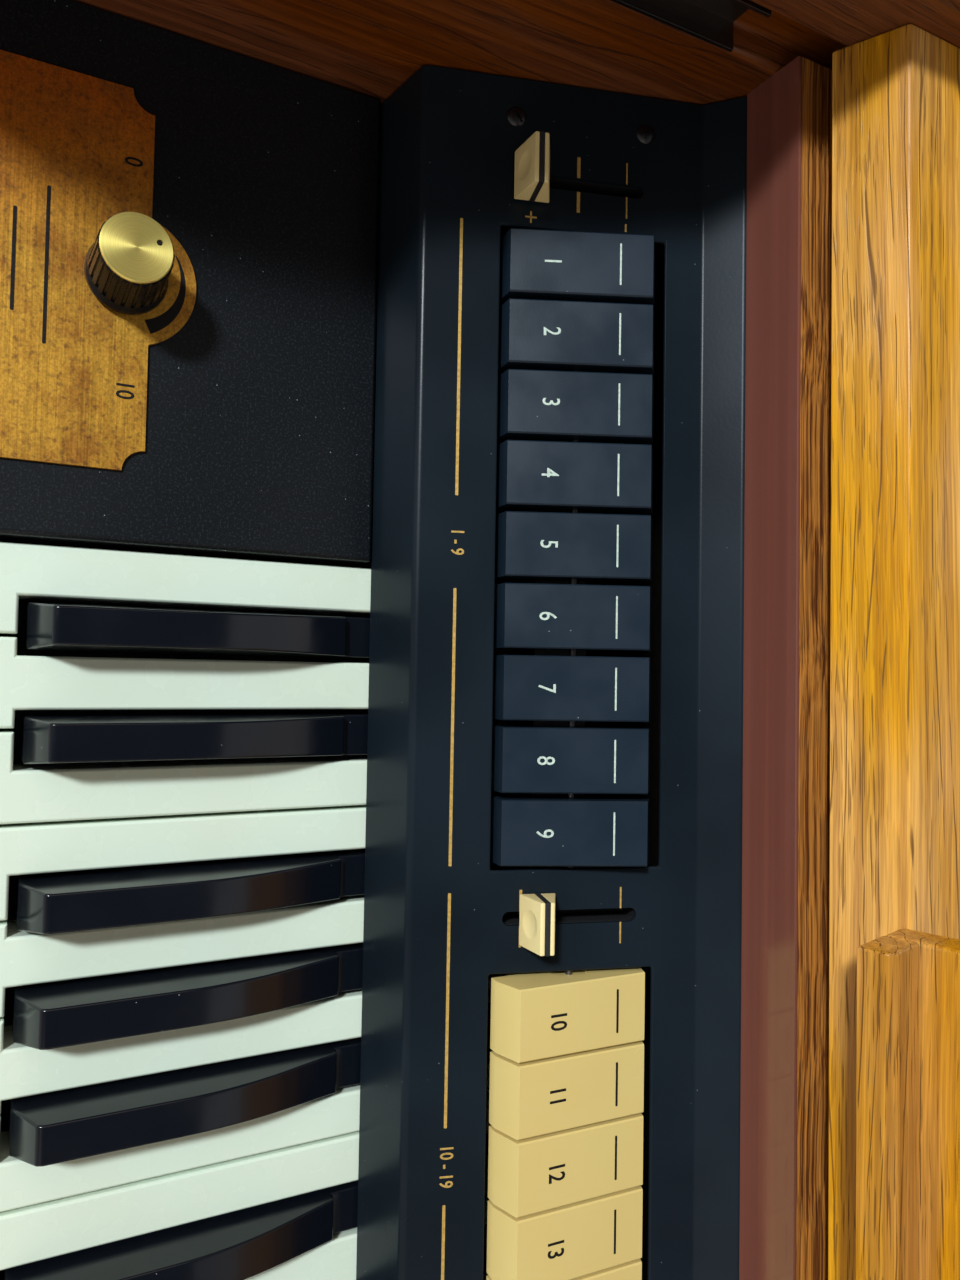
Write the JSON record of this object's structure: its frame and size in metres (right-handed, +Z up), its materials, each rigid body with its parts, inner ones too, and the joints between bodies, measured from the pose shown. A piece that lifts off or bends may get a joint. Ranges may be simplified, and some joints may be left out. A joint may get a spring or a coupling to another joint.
{
  "type": "electronic organ console head",
  "caption": "Wooden organ console head with a full keyboard, a sloped stop-tab panel with rocker tabs and sliders, a rotary knob and a music desk.",
  "frame": {"origin": "centre of the footprint, on the surface that the case stands on", "axes": "+X along the keyboard towards the high notes, +Y from the player to the back, +Z up"},
  "size_m": [1.0266, 0.5, 0.3971],
  "materials": {
    "case_wood": "satin dark wood",
    "side_wood": "satin red-brown wood",
    "top_oak": "satin oak",
    "shelf_veneer": "striped dark veneer",
    "fascia_gloss": "gloss maroon-brown",
    "cheek_black": "black laminate",
    "panel_black": "satin black",
    "steel_grey": "plated steel",
    "housing_black": "black moulding",
    "rail_metal": "mill finish",
    "plate_copper": "brushed copper colour",
    "key_ivory": "glossy ivory",
    "key_black": "gloss black",
    "tab_black": "satin dark slate",
    "tab_cream": "semi-gloss warm cream",
    "slider_cream": "semi-gloss warm cream",
    "blade_black": "black",
    "knob_black": "black moulding",
    "knob_brass": "turned brass disc"
  },
  "bodies": {
    "case": {"base_board": "case_wood", "back_board": "case_wood", "side_panel_left": "side_wood", "side_panel_right": "side_wood", "top_board": "top_oak", "lid_shelf": "shelf_veneer", "fascia_board": "fascia_gloss", "front_rail": "case_wood", "cheek_block_left": "cheek_black", "cheek_block_right": "cheek_black", "stop_panel": "panel_black", "panel_carriers": "steel_grey", "slider_housings": "housing_black", "lid_rails": "rail_metal", "control_plate": "plate_copper", "music_desk_board": "top_oak", "music_desk_ledge": "top_oak", "music_desk_brackets": "top_oak", "key_frame": "steel_grey", "key_stop_rail": "case_wood", "upper_naturals": "key_ivory", "upper_sharps": "key_black", "upper_cream_tabs": "tab_cream", "upper_slider_caps": "slider_cream", "knob_housing": "steel_grey"},
    "key_c": {"key_c": "key_ivory"},
    "key_c_sharp": {"key_c_sharp": "key_black"},
    "key_d": {"key_d": "key_ivory"},
    "key_d_sharp": {"key_d_sharp": "key_black"},
    "key_e": {"key_e": "key_ivory"},
    "key_f": {"key_f": "key_ivory"},
    "key_f_sharp": {"key_f_sharp": "key_black"},
    "key_g": {"key_g": "key_ivory"},
    "key_g_sharp": {"key_g_sharp": "key_black"},
    "key_a": {"key_a": "key_ivory"},
    "key_a_sharp": {"key_a_sharp": "key_black"},
    "key_b": {"key_b": "key_ivory"},
    "key_upper_c": {"key_upper_c": "key_ivory"},
    "key_upper_c_sharp": {"key_upper_c_sharp": "key_black"},
    "key_upper_d": {"key_upper_d": "key_ivory"},
    "black_tab_1": {"black_tab_1": "tab_black"},
    "black_tab_2": {"black_tab_2": "tab_black"},
    "black_tab_3": {"black_tab_3": "tab_black"},
    "black_tab_4": {"black_tab_4": "tab_black"},
    "black_tab_5": {"black_tab_5": "tab_black"},
    "black_tab_6": {"black_tab_6": "tab_black"},
    "black_tab_7": {"black_tab_7": "tab_black"},
    "black_tab_8": {"black_tab_8": "tab_black"},
    "black_tab_9": {"black_tab_9": "tab_black"},
    "cream_tab_1": {"cream_tab_1": "tab_cream"},
    "cream_tab_2": {"cream_tab_2": "tab_cream"},
    "cream_tab_3": {"cream_tab_3": "tab_cream"},
    "cream_tab_4": {"cream_tab_4": "tab_cream"},
    "cream_tab_5": {"cream_tab_5": "tab_cream"},
    "end_slider": {"end_slider_cap": "slider_cream", "end_slider_blade": "blade_black"},
    "volume_slider": {"volume_slider_cap": "slider_cream", "volume_slider_blade": "blade_black"},
    "knob": {"knob_skirt": "knob_black", "knob_disc": "knob_brass"}
  },
  "joints": [
    {"name": "end_slider_travel", "type": "slide", "parent": "case", "child": "end_slider", "axis": [0, 0.9578, 0.2874], "range_m": [-0.0034, 0.0324]},
    {"name": "volume_slider_travel", "type": "slide", "parent": "case", "child": "volume_slider", "axis": [0, 0.9578, 0.2874], "range_m": [-0.0081, 0.0277]},
    {"name": "knob_turn", "type": "hinge", "parent": "case", "child": "knob", "pos_m": [-0.41169, -0.1503, 0.102], "axis": [0, 0, 1], "range_deg": [-90, 10]},
    {"name": "key_c_press", "type": "hinge", "parent": "case", "child": "key_c", "pos_m": [0, -0.005, 0.082], "axis": [1, 0, 0], "range_deg": [0, 2.63], "stiffness_Nm_per_rad": 1.5, "springref_deg": -6.88},
    {"name": "key_c_sharp_press", "type": "hinge", "parent": "case", "child": "key_c_sharp", "pos_m": [0, -0.005, 0.082], "axis": [1, 0, 0], "range_deg": [0, 2.63], "stiffness_Nm_per_rad": 1.5, "springref_deg": -6.88},
    {"name": "key_d_press", "type": "hinge", "parent": "case", "child": "key_d", "pos_m": [0, -0.005, 0.082], "axis": [1, 0, 0], "range_deg": [0, 2.63], "stiffness_Nm_per_rad": 1.5, "springref_deg": -6.88},
    {"name": "key_d_sharp_press", "type": "hinge", "parent": "case", "child": "key_d_sharp", "pos_m": [0, -0.005, 0.082], "axis": [1, 0, 0], "range_deg": [0, 2.63], "stiffness_Nm_per_rad": 1.5, "springref_deg": -6.88},
    {"name": "key_e_press", "type": "hinge", "parent": "case", "child": "key_e", "pos_m": [0, -0.005, 0.082], "axis": [1, 0, 0], "range_deg": [0, 2.63], "stiffness_Nm_per_rad": 1.5, "springref_deg": -6.88},
    {"name": "key_f_press", "type": "hinge", "parent": "case", "child": "key_f", "pos_m": [0, -0.005, 0.082], "axis": [1, 0, 0], "range_deg": [0, 2.63], "stiffness_Nm_per_rad": 1.5, "springref_deg": -6.88},
    {"name": "key_f_sharp_press", "type": "hinge", "parent": "case", "child": "key_f_sharp", "pos_m": [0, -0.005, 0.082], "axis": [1, 0, 0], "range_deg": [0, 2.63], "stiffness_Nm_per_rad": 1.5, "springref_deg": -6.88},
    {"name": "key_g_press", "type": "hinge", "parent": "case", "child": "key_g", "pos_m": [0, -0.005, 0.082], "axis": [1, 0, 0], "range_deg": [0, 2.63], "stiffness_Nm_per_rad": 1.5, "springref_deg": -6.88},
    {"name": "key_g_sharp_press", "type": "hinge", "parent": "case", "child": "key_g_sharp", "pos_m": [0, -0.005, 0.082], "axis": [1, 0, 0], "range_deg": [0, 2.63], "stiffness_Nm_per_rad": 1.5, "springref_deg": -6.88},
    {"name": "key_a_press", "type": "hinge", "parent": "case", "child": "key_a", "pos_m": [0, -0.005, 0.082], "axis": [1, 0, 0], "range_deg": [0, 2.63], "stiffness_Nm_per_rad": 1.5, "springref_deg": -6.88},
    {"name": "key_a_sharp_press", "type": "hinge", "parent": "case", "child": "key_a_sharp", "pos_m": [0, -0.005, 0.082], "axis": [1, 0, 0], "range_deg": [0, 2.63], "stiffness_Nm_per_rad": 1.5, "springref_deg": -6.88},
    {"name": "key_b_press", "type": "hinge", "parent": "case", "child": "key_b", "pos_m": [0, -0.005, 0.082], "axis": [1, 0, 0], "range_deg": [0, 2.63], "stiffness_Nm_per_rad": 1.5, "springref_deg": -6.88},
    {"name": "key_upper_c_press", "type": "hinge", "parent": "case", "child": "key_upper_c", "pos_m": [0, -0.005, 0.082], "axis": [1, 0, 0], "range_deg": [0, 2.63], "stiffness_Nm_per_rad": 1.5, "springref_deg": -6.88},
    {"name": "key_upper_c_sharp_press", "type": "hinge", "parent": "case", "child": "key_upper_c_sharp", "pos_m": [0, -0.005, 0.082], "axis": [1, 0, 0], "range_deg": [0, 2.63], "stiffness_Nm_per_rad": 1.5, "springref_deg": -6.88},
    {"name": "key_upper_d_press", "type": "hinge", "parent": "case", "child": "key_upper_d", "pos_m": [0, -0.005, 0.082], "axis": [1, 0, 0], "range_deg": [0, 2.63], "stiffness_Nm_per_rad": 1.5, "springref_deg": -6.88},
    {"name": "black_tab_1_rock", "type": "hinge", "parent": "case", "child": "black_tab_1", "pos_m": [0, -0.03101, 0.12777], "axis": [1, 0, 0], "range_deg": [-15, 0]},
    {"name": "black_tab_2_rock", "type": "hinge", "parent": "case", "child": "black_tab_2", "pos_m": [0, -0.03101, 0.12777], "axis": [1, 0, 0], "range_deg": [-15, 0]},
    {"name": "black_tab_3_rock", "type": "hinge", "parent": "case", "child": "black_tab_3", "pos_m": [0, -0.03101, 0.12777], "axis": [1, 0, 0], "range_deg": [-15, 0]},
    {"name": "black_tab_4_rock", "type": "hinge", "parent": "case", "child": "black_tab_4", "pos_m": [0, -0.03101, 0.12777], "axis": [1, 0, 0], "range_deg": [-15, 0]},
    {"name": "black_tab_5_rock", "type": "hinge", "parent": "case", "child": "black_tab_5", "pos_m": [0, -0.03101, 0.12777], "axis": [1, 0, 0], "range_deg": [-15, 0]},
    {"name": "black_tab_6_rock", "type": "hinge", "parent": "case", "child": "black_tab_6", "pos_m": [0, -0.03101, 0.12777], "axis": [1, 0, 0], "range_deg": [-15, 0]},
    {"name": "black_tab_7_rock", "type": "hinge", "parent": "case", "child": "black_tab_7", "pos_m": [0, -0.03101, 0.12777], "axis": [1, 0, 0], "range_deg": [-15, 0]},
    {"name": "black_tab_8_rock", "type": "hinge", "parent": "case", "child": "black_tab_8", "pos_m": [0, -0.03101, 0.12777], "axis": [1, 0, 0], "range_deg": [-15, 0]},
    {"name": "black_tab_9_rock", "type": "hinge", "parent": "case", "child": "black_tab_9", "pos_m": [0, -0.03101, 0.12777], "axis": [1, 0, 0], "range_deg": [-15, 0]},
    {"name": "cream_tab_1_rock", "type": "hinge", "parent": "case", "child": "cream_tab_1", "pos_m": [0, -0.03101, 0.12777], "axis": [1, 0, 0], "range_deg": [0, 28]},
    {"name": "cream_tab_2_rock", "type": "hinge", "parent": "case", "child": "cream_tab_2", "pos_m": [0, -0.03101, 0.12777], "axis": [1, 0, 0], "range_deg": [0, 28]},
    {"name": "cream_tab_3_rock", "type": "hinge", "parent": "case", "child": "cream_tab_3", "pos_m": [0, -0.03101, 0.12777], "axis": [1, 0, 0], "range_deg": [0, 28]},
    {"name": "cream_tab_4_rock", "type": "hinge", "parent": "case", "child": "cream_tab_4", "pos_m": [0, -0.03101, 0.12777], "axis": [1, 0, 0], "range_deg": [0, 28]},
    {"name": "cream_tab_5_rock", "type": "hinge", "parent": "case", "child": "cream_tab_5", "pos_m": [0, -0.03101, 0.12777], "axis": [1, 0, 0], "range_deg": [0, 28]}
  ]
}
